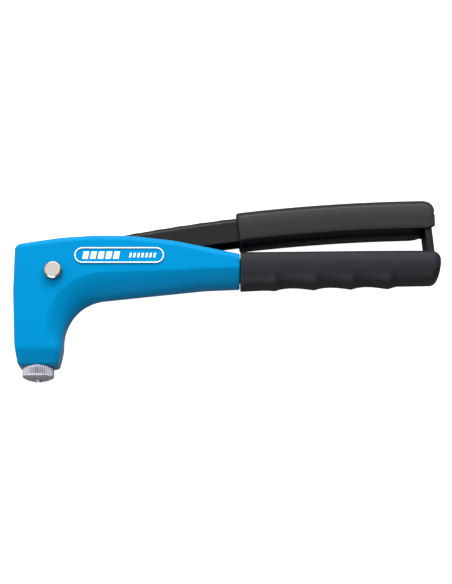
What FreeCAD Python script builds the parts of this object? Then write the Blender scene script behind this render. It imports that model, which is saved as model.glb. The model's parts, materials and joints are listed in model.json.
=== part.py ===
import FreeCAD, Part

import math
import os

import Sketcher

# Hand riveter, lying on its side. While it is built, X = 0 is the nose axis, Y = 0 is the
# pivot's level and Z = 0 is the tool's mid-plane; the nose points to -Y and the handles to +X.
# Each sub-part's Placement then moves it into the row frame.

os.makedirs("parts", exist_ok=True)
doc = FreeCAD.newDocument("hand_riveter")

# ---------------------------------------------------------------- driving dimensions, in mm
DRIVING = {
    # body casting: head, nose and arm
    "body_width": 26.4, "body_left": -16.1, "body_end": 124.8, "head_top": 24.0,
    "top_round": 4.5, "under_round": 11.5, "front_round": 2.0,
    "nose_end": -58.7, "bevel_rise": 9.7, "bevel_depth": 4.5,
    "slot_width": 18.0, "slot_left": -6.4, "slot_end": 103.0, "slot_floor_left": -10.0,
    "slot_floor_right": -1.0, "head_ceiling": 17.4, "cavity_floor": -13.6,
    "tongue_width": 11.4, "tongue_end": 7.0, "cheek_slot_start": 3.2,
    "case_bore_radius": 7.5, "case_bore_top": -6.5, "nose_thread_radius": 8.1, "nose_thread_top": -49.6,
    "tang_width": 14.0, "tang_top": 9.6, "tang_bottom": -2.6, "tang_start": 118.0, "tang_end": 248.2,
    "tang_corner": 4.0,
    "ear_gap": 8.8, "ear_gap_start": 239.8, "ear_top": 9.9,
    # badge
    "badge_length": 56.0, "badge_height": 10.2, "badge_x": 49.7, "badge_y": 10.2,
    "badge_thickness": 0.6, "badge_rim": 0.9, "badge_recess": 0.25,
    "bold_x": 26.6, "bold_pitch": 4.8, "bold_width": 3.5, "bold_height": 4.8,
    "fine_x": 55.8, "fine_pitch": 2.5, "fine_width": 1.3, "fine_height": 3.0,
    # pivot pin and its ring
    "pivot_x": 8.8, "pin_radius": 3.5, "pin_hole_radius": 3.55, "pin_head_radius": 5.7,
    "pin_head_height": 4.8, "pin_head_chamfer": 0.8, "ring_pocket_radius": 7.0,
    "ring_pocket_depth": 2.4, "ring_radius": 5.6, "ring_thickness": 0.9, "groove_radius": 2.7,
    "ring_gap": 3.6, "pin_tail_inset": 0.5,
    # lever: a channel bent along one long arc, with an eye and a lobe on each cheek
    "arc_x": 256.0, "arc_top": 45.3, "arc_radius": 1070.0, "lever_width": 17.2, "lever_height": 16.0,
    "lever_wall": 2.5, "web_start": 32.0, "lever_end": 237.6, "lever_round": 4.0,
    "eye_radius": 5.6, "lobe_radius": 3.5, "lobe_arm": 8.66, "lobe_angle": 27.5,
    "lobe_over": 1.4, "lobe_under": 4.2,
    # upper grip
    "upper_width": 25.4, "grip_wall": 3.0, "upper_start_top": 122.2, "upper_start_base": 125.0,
    "upper_end": 247.5, "upper_round": 6.5, "edge_drop": 16.6, "base_drop": 19.1,
    "upper_bevel": 4.5, "fit_gap": 0.1, "hook_room_start": 237.5, "hook_room_width": 22.4,
    "hook_room_drop": 5.1,
    # lower grip
    "lower_width": 28.0, "lower_start": 125.2, "lower_end": 251.8, "lower_top": 13.9,
    "lower_round": 4.5, "latch_slot_width": 22.4,
    "latch_slot_floor": 2.8, "latch_slot_start": 239.8,
    # nose cap and nosepiece, turned about the nose axis
    "cap_radius": 9.8, "knurl_bottom": -64.9, "dome_bottom": -66.9, "knurl_count": 44.0,
    "knurl_depth": 0.45, "cap_thread_radius": 8.05, "spigot_top": -50.0, "spigot_bore": 6.2,
    "cap_floor": -62.2, "nozzle_tip": -67.6, "nozzle_radius": 2.3, "nozzle_flange_radius": 4.6,
    "nozzle_flange_top": -59.6, "nozzle_top": -55.2, "nozzle_top_radius": 3.0,
    "nozzle_bore": 1.65,
    # pulling parts inside the nose
    "case_radius": 7.2, "case_top": -7.6, "case_shoulder": -30.0, "case_tip": -47.5,
    "case_tip_radius": 5.4, "case_inner": 5.4, "case_mouth": 3.35, "case_cone_top": -35.5,
    "nut_top": -4.7, "tube_radius": 4.2, "tube_bore": 2.0, "tube_bottom": -13.0,
    "crosshead_under": 7.6, "crosshead_thickness": 2.4, "crosshead_left": -5.0,
    "crosshead_right": 2.8, "crosshead_width": 16.4, "thread_gap": 0.02,
    "jaw_front": -47.0, "jaw_back": -36.9, "jaw_clearance": 0.08, "jaw_bore": 1.0, "jaw_split": 0.6,
    "pusher_front": -36.7, "pusher_back": -30.0, "pusher_radius": 5.2, "pusher_bore": 1.7,
    "pusher_neck": 2.6, "pusher_step": -33.0,
    "seat_bore": 2.3, "seat_radius": 3.6, "seat_flange_radius": 4.7, "seat_flange": 1.2,
    "seat_top": 20.4,
    # springs
    "return_mean": 3.2, "return_wire": 0.8, "return_turns": 4.0,
    "jaw_spring_mean": 3.9, "jaw_spring_wire": 0.7, "jaw_spring_turns": 7.0,
    # latch and catch
    "latch_x": 245.2, "latch_y": 6.4, "latch_width": 20.8, "latch_thickness": 4.4,
    "latch_lean": 5.0, "latch_height": 33.0, "barrel_radius": 3.1, "barrel_width": 8.2,
    "latch_shoulder": 5.2, "hook_reach": 3.45, "hook_thickness": 2.6, "hook_width": 11.2,
    "latch_pin_radius": 1.5, "latch_pin_length": 14.0, "latch_hole_radius": 1.55,
    "catch_x": 235.0, "catch_drop": 11.6, "catch_radius": 1.6,
}

sheet = doc.addObject("Spreadsheet::Sheet", "sizes")
for row, (alias, value) in enumerate(DRIVING.items(), start=1):
    sheet.set(f"A{row}", alias)
    sheet.set(f"B{row}", str(value))
    sheet.setAlias(f"B{row}", alias)
doc.recompute()


class Size:
    """A length or count together with the sheet expression that it comes from."""

    def __init__(self, value, text):
        self.value = value
        self.text = text

    def __add__(self, other):
        other = as_size(other)
        return Size(self.value + other.value, f"({self.text} + {other.text})")

    def __sub__(self, other):
        other = as_size(other)
        return Size(self.value - other.value, f"({self.text} - {other.text})")

    def __mul__(self, factor):
        return Size(self.value * factor, f"({self.text} * {factor})")

    def __truediv__(self, divisor):
        return Size(self.value / divisor, f"({self.text} / {divisor})")

    def __neg__(self):
        return Size(-self.value, f"(-{self.text})")


def as_size(number):
    return number if isinstance(number, Size) else Size(float(number), f"({number})")


class Sizes:
    """Gives each cell of the sheet as an attribute."""

    def __getattr__(self, alias):
        return Size(DRIVING[alias], "sizes." + alias)


size = Sizes()


# ---------------------------------------------------------------- sketches and features
def new_body(name):
    body = doc.addObject("PartDesign::Body", name)
    body.Label = name
    return body


def sketch_on(body, role, name, lift=None):
    """A sketch on one of the body's own origin planes, raised along its normal by lift."""
    sketch = body.newObject("Sketcher::SketchObject", name)
    plane = next(item for item in body.Origin.OriginFeatures if item.Role == role)
    sketch.AttachmentSupport = [(plane, "")]
    sketch.MapMode = "FlatFace"
    if lift is not None:
        sketch.setExpression("AttachmentOffset.Base.z", lift.text)
    return sketch


def fix_point(sketch, index, position, x, y):
    """Hold one point of a sketch element at sheet values."""
    for kind, place in (("DistanceX", as_size(x)), ("DistanceY", as_size(y))):
        number = sketch.addConstraint(
            Sketcher.Constraint(kind, -1, 1, index, position, place.value))
        sketch.setExpression(f"Constraints[{number}]", place.text)


def polygon(sketch, corners):
    """A closed polygon whose corners are held at sheet values."""
    corners = [(as_size(x), as_size(y)) for x, y in corners]
    points = [FreeCAD.Vector(x.value, y.value, 0) for x, y in corners]
    first = sketch.GeometryCount
    for start, end in zip(points, points[1:] + points[:1]):
        sketch.addGeometry(Part.LineSegment(start, end))
    for step, (x, y) in enumerate(corners):
        previous = first + (step - 1) % len(corners)
        sketch.addConstraint(Sketcher.Constraint("Coincident", previous, 2, first + step, 1))
        fix_point(sketch, first + step, 1, x, y)


def circle(sketch, x, y, radius):
    x, y = as_size(x), as_size(y)
    index = sketch.addGeometry(
        Part.Circle(FreeCAD.Vector(x.value, y.value, 0), FreeCAD.Vector(0, 0, 1), radius.value))
    fix_point(sketch, index, 3, x, y)
    number = sketch.addConstraint(Sketcher.Constraint("Radius", index, radius.value))
    sketch.setExpression(f"Constraints[{number}]", radius.text)


def rounded(corners):
    """Lines and tangent arcs round a closed outline given as (x, y, corner radius)."""
    edges = []
    joins = []
    for step, (x, y, radius) in enumerate(corners):
        before = corners[step - 1]
        after = corners[(step + 1) % len(corners)]
        corner = FreeCAD.Vector(x, y, 0)
        into = (FreeCAD.Vector(before[0], before[1], 0) - corner).normalize()
        out = (FreeCAD.Vector(after[0], after[1], 0) - corner).normalize()
        half = into.getAngle(out) / 2
        reach = radius / math.tan(half)
        start = corner + into * reach
        end = corner + out * reach
        middle = (into + out).normalize() * (radius / math.sin(half) - radius) + corner
        if radius > 0:
            edges.append(Part.Arc(start, middle, end))
        joins.append((start, end))
    for (_, leave), (arrive, _) in zip(joins, joins[1:] + joins[:1]):
        if leave.distanceToPoint(arrive) > 1e-6:
            edges.append(Part.LineSegment(leave, arrive))
    return edges


def outline(sketch, corners):
    values = [tuple(as_size(number).value for number in corner) for corner in corners]
    sketch.addGeometry(rounded(values))


def pad(sketch, length, symmetric=True):
    body = sketch.getParentGeoFeatureGroup()
    feature = body.newObject("PartDesign::Pad", sketch.Name + "_pad")
    feature.Profile = sketch
    feature.setExpression("Length", as_size(length).text)
    feature.SideType = "Symmetric" if symmetric else "One side"
    body.Tip = feature
    return feature


def pocket(sketch, length, symmetric=True, reverse=False):
    body = sketch.getParentGeoFeatureGroup()
    feature = body.newObject("PartDesign::Pocket", sketch.Name + "_pocket")
    feature.Profile = sketch
    feature.setExpression("Length", as_size(length).text)
    feature.SideType = "Symmetric" if symmetric else "One side"
    feature.Reversed = reverse
    body.Tip = feature
    return feature


def turned(body, name, corners, kind="PartDesign::Revolution"):
    """Revolve a profile of (radius, y) corners about the nose axis."""
    sketch = sketch_on(body, "XY_Plane", name)
    polygon(sketch, corners)
    feature = body.newObject(kind, name + "_turned")
    feature.Profile = sketch
    feature.ReferenceAxis = (sketch, ["V_Axis"])
    feature.Angle = 360
    body.Tip = feature
    return feature


def edges_where(feature, wanted):
    """Names of the edges whose middle point meets a condition."""
    names = []
    for number, edge in enumerate(feature.Shape.Edges, start=1):
        middle = edge.valueAt((edge.FirstParameter + edge.LastParameter) / 2)
        if wanted(middle, edge):
            names.append(f"Edge{number}")
    return names


def fillet(feature, names, radius, label):
    body = feature.getParentGeoFeatureGroup()
    rounding = body.newObject("PartDesign::Fillet", label)
    rounding.Base = (feature, names)
    rounding.setExpression("Radius", radius.text)
    body.Tip = rounding
    doc.recompute()
    return rounding


# ---------------------------------------------------------------- shared outlines
def arc_height(x, drop=0.0):
    """Height of the long handle arc, lowered by drop, at a given x."""
    radius = DRIVING["arc_radius"] - drop
    middle = DRIVING["arc_top"] - DRIVING["arc_radius"]
    return middle + math.sqrt(radius ** 2 - (DRIVING["arc_x"] - x) ** 2)


def arc_edge(start_x, end_x, drop=0.0):
    """A piece of the handle arc between two x values."""
    middle_x = (start_x + end_x) / 2
    return Part.Arc(*(FreeCAD.Vector(x, arc_height(x, drop), 0) for x in (start_x, middle_x, end_x)))


# ---------------------------------------------------------------- body casting
def make_body_casting():
    body = new_body("body_casting")
    half = size.body_width / 2
    end, left, top, nose = size.body_end, size.body_left, size.head_top, size.nose_end

    blank = sketch_on(body, "XY_Plane", "casting_outline")
    outline(blank, [
        (end, -8.1, 0), (102, -9.1, 60), (15.05, -18.8, 28.2), (15.1, -46.5, 0), (13, nose, 2.2),
        (-12.1, nose, 2.2), (-14.2, -46.5, 0), (left, -12, 60), (left, 18.3, 5), (12, 22.8, 50),
        (33, top + 0.3, 60), (56, top + 0.1, 100), (84, 20.9, 80), (end, 12.3, 0),
    ])
    shaped = pad(blank, size.body_width)
    doc.recompute()

    def on_face(middle):
        return abs(abs(middle.z) - half.value) < 0.001

    shaped = fillet(shaped, edges_where(
        shaped, lambda middle, edge: on_face(middle) and -46 < middle.y < -8.2 and middle.x > 15),
        size.under_round, "underside_rounding")
    shaped = fillet(shaped, edges_where(
        shaped, lambda middle, edge: on_face(middle) and 12.4 < middle.y < 25),
        size.top_round, "top_rounding")
    shaped = fillet(shaped, edges_where(
        shaped, lambda middle, edge: middle.x < -10 and middle.y < 25 and abs(middle.z) > 8),
        size.front_round, "front_rounding")

    # both faces slope inwards towards the nose cap
    bevels = sketch_on(body, "YZ_Plane", "nose_bevels")
    for side in (1, -1):
        outer = half * side
        polygon(bevels, [
            (nose + size.bevel_rise, outer), (nose, outer - size.bevel_depth * side),
            (nose - 1, outer - size.bevel_depth * side), (nose - 1, outer + side),
            (nose + size.bevel_rise, outer + side),
        ])
    pocket(bevels, size.body_width * 2)

    # the lever's slot, open at the top, and the room for the crosshead in the head
    slot = sketch_on(body, "XY_Plane", "lever_slot")
    sky = top + 10
    polygon(slot, [
        (size.slot_left, size.cavity_floor), (size.pivot_x * 2, size.cavity_floor),
        (size.pivot_x * 3, size.slot_floor_left), (size.slot_end, size.slot_floor_right),
        (size.slot_end, sky), (size.tongue_end, sky), (size.tongue_end, size.head_ceiling),
        (size.slot_left, size.head_ceiling),
    ])
    pocket(slot, size.slot_width)

    # two narrow slots let the cheeks swing past the tongue that holds the spring seat
    cheek_slots = sketch_on(body, "YZ_Plane", "cheek_slots", size.cheek_slot_start)
    for side in (1, -1):
        polygon(cheek_slots, [
            (size.head_ceiling, size.tongue_width / 2 * side),
            (sky, size.tongue_width / 2 * side),
            (sky, size.slot_width / 2 * side), (size.head_ceiling, size.slot_width / 2 * side),
        ])
    pocket(cheek_slots, size.tongue_end - size.cheek_slot_start, symmetric=False, reverse=True)

    # bores on the nose axis
    turned(body, "nose_bores", [
        (0, size.case_bore_top), (size.case_bore_radius, size.case_bore_top),
        (size.case_bore_radius, size.nose_thread_top),
        (size.nose_thread_radius, size.nose_thread_top),
        (size.nose_thread_radius, nose - 1), (0, nose - 1),
    ], "PartDesign::Groove")
    turned(body, "seat_hole", [
        (0, size.head_ceiling - 1), (size.seat_radius, size.head_ceiling - 1),
        (size.seat_radius, sky), (0, sky),
    ], "PartDesign::Groove")

    # pivot hole through both walls, with a pocket for the ring on the far side
    pivot = sketch_on(body, "XY_Plane", "pivot_hole")
    circle(pivot, size.pivot_x, 0, size.pin_hole_radius)
    pocket(pivot, size.body_width * 2)
    ring_pocket = sketch_on(body, "XY_Plane", "ring_pocket", -half)
    circle(ring_pocket, size.pivot_x, 0, size.ring_pocket_radius)
    pocket(ring_pocket, size.ring_pocket_depth, symmetric=False, reverse=True)

    # tang inside the lower grip, ending in two ears that hold the latch
    tang = sketch_on(body, "XY_Plane", "tang")
    outline(tang, [
        (size.tang_start, size.tang_bottom, 0), (size.tang_end, size.tang_bottom, size.tang_corner),
        (size.tang_end, size.ear_top, 3), (size.ear_gap_start - 6, size.ear_top, 0),
        (size.ear_gap_start - 8, size.tang_top, 0), (size.tang_start, size.tang_top, 0),
    ])
    pad(tang, size.tang_width)
    gap = sketch_on(body, "XY_Plane", "ear_gap")
    polygon(gap, [
        (size.ear_gap_start, size.tang_bottom - 1), (size.tang_end + 1, size.tang_bottom - 1),
        (size.tang_end + 1, size.ear_top + 1), (size.ear_gap_start, size.ear_top + 1),
    ])
    pocket(gap, size.ear_gap)
    ears = sketch_on(body, "XY_Plane", "ear_holes")
    circle(ears, size.latch_x, size.latch_y, size.latch_hole_radius)
    pocket(ears, size.tang_width * 2)
    return body


# ---------------------------------------------------------------- badge
def make_badge_plate():
    body = new_body("badge_plate")
    half_length = size.badge_length / 2 - size.badge_height / 2

    def stadium(sketch, radius):
        left = (size.badge_x - half_length).value
        right = (size.badge_x + half_length).value
        middle = DRIVING["badge_y"]
        round_end = radius.value
        sketch.addGeometry([
            Part.LineSegment(FreeCAD.Vector(left, middle + round_end, 0),
                             FreeCAD.Vector(right, middle + round_end, 0)),
            Part.Arc(FreeCAD.Vector(right, middle + round_end, 0),
                     FreeCAD.Vector(right + round_end, middle, 0),
                     FreeCAD.Vector(right, middle - round_end, 0)),
            Part.LineSegment(FreeCAD.Vector(right, middle - round_end, 0),
                             FreeCAD.Vector(left, middle - round_end, 0)),
            Part.Arc(FreeCAD.Vector(left, middle - round_end, 0),
                     FreeCAD.Vector(left - round_end, middle, 0),
                     FreeCAD.Vector(left, middle + round_end, 0)),
        ])

    plate = sketch_on(body, "XY_Plane", "plate", size.body_width / 2)
    stadium(plate, size.badge_height / 2)
    pad(plate, size.badge_thickness, symmetric=False)
    field = sketch_on(body, "XY_Plane", "field",
                      size.body_width / 2 + size.badge_thickness)
    stadium(field, size.badge_height / 2 - size.badge_rim)
    pocket(field, size.badge_recess, symmetric=False)

    # two rows of plain slanted bars, one bold and one fine, stand on the sunken field
    bars = sketch_on(body, "XY_Plane", "bars",
                     size.body_width / 2 + size.badge_thickness - size.badge_recess)
    for count, first_x, pitch, width, height in (
            (5, size.bold_x, size.bold_pitch, size.bold_width, size.bold_height),
            (7, size.fine_x, size.fine_pitch, size.fine_width, size.fine_height)):
        low, high = size.badge_y - height / 2, size.badge_y + height / 2
        lean = height * 0.2
        for step in range(count):
            left = first_x + pitch * step
            polygon(bars, [(left, low), (left + width, low), (left + width + lean, high),
                           (left + lean, high)])
    pad(bars, size.badge_recess, symmetric=False)
    return body


# ---------------------------------------------------------------- pivot
def make_pivot_pin():
    body = new_body("pivot_pin")
    half = size.body_width / 2
    head = half + size.pin_head_height
    tail = -half + size.pin_tail_inset
    groove_top = -half + size.ring_pocket_depth - 0.1
    shaft = sketch_on(body, "XZ_Plane", "pin_profile")
    axis = size.pivot_x
    polygon(shaft, [
        (axis, tail), (axis + size.pin_radius - 0.4, tail), (axis + size.pin_radius, tail + 0.4),
        (axis + size.pin_radius, groove_top - size.ring_thickness - 0.1),
        (axis + size.groove_radius, groove_top - size.ring_thickness - 0.1),
        (axis + size.groove_radius, groove_top), (axis + size.pin_radius, groove_top),
        (axis + size.pin_radius, half), (axis + size.pin_head_radius, half),
        (axis + size.pin_head_radius, head - size.pin_head_chamfer),
        (axis + size.pin_head_radius - size.pin_head_chamfer, head), (axis, head),
    ])
    spin = sketch_on(body, "XZ_Plane", "pin_axis")
    line = spin.addGeometry(
        Part.LineSegment(FreeCAD.Vector(axis.value, 0, 0), FreeCAD.Vector(axis.value, 10, 0)))
    fix_point(spin, line, 1, axis, 0)
    fix_point(spin, line, 2, axis, 10)
    feature = body.newObject("PartDesign::Revolution", "pin_turned")
    feature.Profile = shaft
    feature.ReferenceAxis = (spin, ["Edge1"])
    feature.Angle = 360
    body.Tip = feature
    return body


def make_pivot_ring():
    """An open ring clipped into the pin's groove from below."""
    body = new_body("pivot_ring")
    level = -(size.body_width / 2) + size.ring_pocket_depth - 0.15
    ring = sketch_on(body, "XY_Plane", "ring", level)
    circle(ring, size.pivot_x, 0, size.ring_radius)
    circle(ring, size.pivot_x, 0, size.groove_radius + 0.05)
    disc = pad(ring, size.ring_thickness, symmetric=False)
    disc.Reversed = True
    gap = sketch_on(body, "XY_Plane", "gap")
    polygon(gap, [
        (size.pivot_x - size.ring_gap / 2, 0), (size.pivot_x - size.ring_gap / 2, -10),
        (size.pivot_x + size.ring_gap / 2, -10), (size.pivot_x + size.ring_gap / 2, 0),
    ])
    pocket(gap, size.body_width * 2)
    return body


# ---------------------------------------------------------------- lever
def make_lever_channel():
    body = new_body("lever_channel")
    height = size.lever_height
    start = DRIVING["web_start"]
    lever_end = DRIVING["lever_end"]

    # the channel itself, with a tapering shank that leads back to the eyes
    channel = sketch_on(body, "XY_Plane", "channel")
    top = arc_edge(start, lever_end)
    base = arc_edge(start, lever_end, height.value)
    eye_top = FreeCAD.Vector(DRIVING["pivot_x"], DRIVING["eye_radius"], 0)
    eye_base = FreeCAD.Vector(DRIVING["pivot_x"], -DRIVING["eye_radius"], 0)
    channel.addGeometry([
        top, base, Part.LineSegment(top.EndPoint, base.EndPoint),
        Part.LineSegment(eye_top, top.StartPoint), Part.LineSegment(eye_base, base.StartPoint),
        Part.LineSegment(eye_top, eye_base),
    ])
    pad(channel, size.lever_width)

    # eye, arm and rounded lobe; the notch above the arm clears the crosshead
    angle = math.radians(DRIVING["lobe_angle"])
    along = FreeCAD.Vector(-math.cos(angle), math.sin(angle), 0)
    across = FreeCAD.Vector(math.sin(angle), math.cos(angle), 0)
    pivot = FreeCAD.Vector(DRIVING["pivot_x"], 0, 0)
    lobe = pivot + along * DRIVING["lobe_arm"]
    eye = sketch_on(body, "XY_Plane", "eye")
    circle(eye, size.pivot_x, 0, size.eye_radius)
    pad(eye, size.lever_width)
    tip = sketch_on(body, "XY_Plane", "lobe")
    tip_centre_x = Size(lobe.x, "(sizes.pivot_x - sizes.lobe_arm * cos(sizes.lobe_angle))")
    tip_centre_y = Size(lobe.y, "(sizes.lobe_arm * sin(sizes.lobe_angle))")
    circle(tip, tip_centre_x, tip_centre_y, size.lobe_radius)
    pad(tip, size.lever_width)
    arm = sketch_on(body, "XY_Plane", "arm")
    over = across * DRIVING["lobe_over"]
    under = across * -DRIVING["lobe_under"]
    lobe_under = across * -DRIVING["lobe_radius"]
    corners = [pivot + over, lobe + over, lobe + lobe_under, pivot + under]
    polygon(arm, [(corner.x, corner.y) for corner in corners])
    pad(arm, size.lever_width)
    doc.recompute()
    shaped = fillet(body.Tip, edges_where(
        body.Tip, lambda middle, edge: abs(abs(middle.z) - size.lever_width.value / 2) < 0.001
        and abs(middle.y - arc_height(middle.x)) < 0.01 and middle.x > start + 1),
        size.lever_round, "bend_rounding")

    # hollow between the cheeks, under the web and everywhere left of it
    hollow = sketch_on(body, "XY_Plane", "hollow")
    wall = size.lever_wall.value
    ceiling = arc_edge(start, lever_end + 1, wall)
    floor_left = FreeCAD.Vector(-20, -20, 0)
    floor_right = FreeCAD.Vector(lever_end + 1, -20, 0)
    sky_left = FreeCAD.Vector(-20, 60, 0)
    sky_start = FreeCAD.Vector(start, 60, 0)
    hollow.addGeometry([
        ceiling, Part.LineSegment(ceiling.EndPoint, floor_right),
        Part.LineSegment(floor_right, floor_left), Part.LineSegment(floor_left, sky_left),
        Part.LineSegment(sky_left, sky_start), Part.LineSegment(sky_start, ceiling.StartPoint),
    ])
    pocket(hollow, size.lever_width - size.lever_wall * 2)

    holes = sketch_on(body, "XY_Plane", "cross_holes")
    circle(holes, size.pivot_x, 0, size.pin_hole_radius)
    circle(holes, size.catch_x, catch_y(), size.catch_radius + size.thread_gap)
    pocket(holes, size.lever_width * 2)
    return body


def catch_y():
    height = arc_height(DRIVING["catch_x"], DRIVING["catch_drop"])
    return Size(height, f"({height})")


def make_catch_bar():
    body = new_body("catch_bar")
    bar = sketch_on(body, "XY_Plane", "bar")
    circle(bar, size.catch_x, catch_y(), size.catch_radius)
    pad(bar, size.lever_width)
    return body


# ---------------------------------------------------------------- grips
def make_upper_grip():
    body = new_body("upper_grip")
    half = size.upper_width / 2
    wall, end = DRIVING["grip_wall"], DRIVING["upper_end"]
    start_top, start_base = DRIVING["upper_start_top"], DRIVING["upper_start_base"]
    base_drop = DRIVING["base_drop"]

    blank = sketch_on(body, "XY_Plane", "upper_outline")
    top = arc_edge(start_top, end - 7, -wall)
    base = arc_edge(start_base, end - 5, base_drop)
    tip = FreeCAD.Vector(end - 0.9, arc_height(end, 2.4), 0)
    shoulder = FreeCAD.Vector(end - 2.3, arc_height(end, -wall) - 1.9, 0)
    chin = FreeCAD.Vector(end, arc_height(end, 12.0), 0)
    heel = FreeCAD.Vector(end - 0.8, arc_height(end, 14.6), 0)
    blank.addGeometry([
        top, base, Part.LineSegment(top.StartPoint, base.StartPoint),
        Part.Arc(top.EndPoint, shoulder, tip), Part.LineSegment(tip, chin),
        Part.LineSegment(chin, heel), Part.LineSegment(heel, base.EndPoint),
    ])
    shaped = pad(blank, size.upper_width)
    doc.recompute()
    shaped = fillet(shaped, edges_where(
        shaped, lambda middle, edge: abs(abs(middle.z) - half.value) < 0.001
        and middle.y > arc_height(middle.x, 4) and edge.Length > 5),
        size.upper_round, "upper_rounding")

    # long bevels under both sides, turned about the centre of the handle arc
    bevels = sketch_on(body, "YZ_Plane", "under_bevels", size.arc_x)
    for side in (1, -1):
        outer = half * side
        polygon(bevels, [
            (size.arc_top - size.edge_drop, outer),
            (size.arc_top - size.base_drop - 0.1, outer - size.upper_bevel * side),
            (size.arc_top - size.base_drop - 3, outer - size.upper_bevel * side),
            (size.arc_top - size.base_drop - 3, outer + side),
            (size.arc_top - size.edge_drop, outer + side),
        ])
    centre = sketch_on(body, "YZ_Plane", "arc_axis", size.arc_x)
    axis = centre.addGeometry(Part.LineSegment(
        FreeCAD.Vector((size.arc_top - size.arc_radius).value, 0, 0),
        FreeCAD.Vector((size.arc_top - size.arc_radius).value, 10, 0)))
    fix_point(centre, axis, 1, size.arc_top - size.arc_radius, 0)
    fix_point(centre, axis, 2, size.arc_top - size.arc_radius, 10)
    groove = body.newObject("PartDesign::Groove", "under_bevels_turned")
    groove.Profile = bevels
    groove.ReferenceAxis = (centre, ["Edge1"])
    groove.Angle = 30
    groove.Midplane = True
    body.Tip = groove

    # room for the lever channel, and for the latch's hook at the open end
    room = sketch_on(body, "XY_Plane", "channel_room")
    gap = DRIVING["fit_gap"]
    ceiling = arc_edge(start_top - 5, DRIVING["lever_end"] + gap, -gap)
    floor = arc_edge(start_top - 5, DRIVING["lever_end"] + gap, DRIVING["lever_height"] + gap)
    room.addGeometry([
        ceiling, floor, Part.LineSegment(ceiling.StartPoint, floor.StartPoint),
        Part.LineSegment(ceiling.EndPoint, floor.EndPoint),
    ])
    pocket(room, size.lever_width + size.fit_gap * 2)
    hook = sketch_on(body, "XY_Plane", "hook_room")
    hook_ceiling = size.arc_top - size.hook_room_drop
    polygon(hook, [
        (size.hook_room_start - 0.5, 0), (size.upper_end + 2, 0),
        (size.upper_end + 2, hook_ceiling), (size.hook_room_start - 0.5, hook_ceiling),
    ])
    pocket(hook, size.hook_room_width)
    return body


def make_lower_grip():
    body = new_body("lower_grip")
    half = size.lower_width / 2
    start, end, top = size.lower_start, size.lower_end, size.lower_top
    blank = sketch_on(body, "XY_Plane", "lower_outline")
    ridges = []
    for step in range(4):
        crest = 147.5 + 25.2 * step - 0.6 * step ** 2
        base = -7.9 + 0.42 * step
        ridges += [(crest - 12.5, base + 1.5, 20), (crest, base - 0.5, 14)]
    outline(blank, [(start, -7.6, 0)] + ridges + [
        (225.5, -5.3, 14), (end - 3.1, -5.2, 5), (end + 1.1, top, 5),
        (160, top - 0.1, 200), (start, top - 0.6, 0),
    ])
    shaped = pad(blank, size.lower_width)
    doc.recompute()
    fillet(shaped, edges_where(
        shaped, lambda middle, edge: abs(abs(middle.z) - half.value) < 0.001
        and middle.x > start.value + 1),
        size.lower_round, "lower_rounding")

    room = sketch_on(body, "XY_Plane", "tang_room")
    gap = size.fit_gap
    outline(room, [
        (start - 1, size.tang_bottom - gap, 0),
        (size.tang_end + gap, size.tang_bottom - gap, size.tang_corner),
        (size.tang_end + gap, size.ear_top + gap, 0), (start - 1, size.ear_top + gap, 0),
    ])
    pocket(room, size.tang_width + gap * 2)
    slot = sketch_on(body, "XY_Plane", "latch_slot")
    polygon(slot, [
        (size.latch_slot_start, size.latch_slot_floor), (end + 2, size.latch_slot_floor),
        (end + 2, top + 2), (size.latch_slot_start, top + 2),
    ])
    pocket(slot, size.latch_slot_width)
    return body


# ---------------------------------------------------------------- nose
def make_nose_cap():
    body = new_body("nose_cap")
    turned(body, "cap_profile", [
        (size.spigot_bore, size.spigot_top), (size.cap_thread_radius, size.spigot_top),
        (size.cap_thread_radius, size.nose_end), (size.cap_radius - 0.4, size.nose_end),
        (size.cap_radius, size.nose_end - 0.4), (size.cap_radius, size.knurl_bottom + 0.4),
        (size.cap_radius - 0.5, size.knurl_bottom), (size.cap_radius * 0.7, size.knurl_bottom - 1.3),
        (size.nozzle_radius + size.thread_gap, size.dome_bottom),
        (size.nozzle_radius + size.thread_gap, size.cap_floor),
        (size.spigot_bore, size.cap_floor),
    ])
    groove = sketch_on(body, "XZ_Plane", "knurl_groove", -size.nose_end)
    depth = size.knurl_depth
    polygon(groove, [
        (size.cap_radius - depth, 0), (size.cap_radius + 0.5, depth + 0.2),
        (size.cap_radius + 0.5, -depth - 0.2),
    ])
    cut = pocket(groove, size.nose_end - size.knurl_bottom, symmetric=False)
    cut.Reversed = True
    around = body.newObject("PartDesign::PolarPattern", "knurl")
    around.Originals = [cut]
    around.Axis = (body.Origin.OriginFeatures[1], [""])
    around.Angle = 360
    around.setExpression("Occurrences", "sizes.knurl_count")
    body.Tip = around
    return body


def make_nosepiece():
    body = new_body("nosepiece")
    turned(body, "nosepiece_profile", [
        (size.nozzle_bore, size.nozzle_tip), (size.nozzle_radius - 0.2, size.nozzle_tip),
        (size.nozzle_radius, size.nozzle_tip + 0.2), (size.nozzle_radius, size.cap_floor),
        (size.nozzle_flange_radius, size.cap_floor),
        (size.nozzle_flange_radius, size.nozzle_flange_top),
        (size.nozzle_top_radius, size.nozzle_flange_top),
        (size.nozzle_bore + 0.3, size.nozzle_top), (size.nozzle_bore, size.nozzle_top),
    ])
    return body


# ---------------------------------------------------------------- pulling parts
def make_jaw_case():
    body = new_body("jaw_case")
    turned(body, "case_profile", [
        (size.tube_radius + size.thread_gap, size.case_top), (size.case_radius - 0.5, size.case_top),
        (size.case_radius, size.case_top - 0.5), (size.case_radius, size.case_shoulder),
        (size.case_tip_radius, size.case_tip), (size.case_mouth, size.case_tip),
        (size.case_inner, size.case_cone_top), (size.case_inner, size.tube_bottom),
        (size.tube_radius + size.thread_gap, size.tube_bottom),
    ])
    return body


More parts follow.
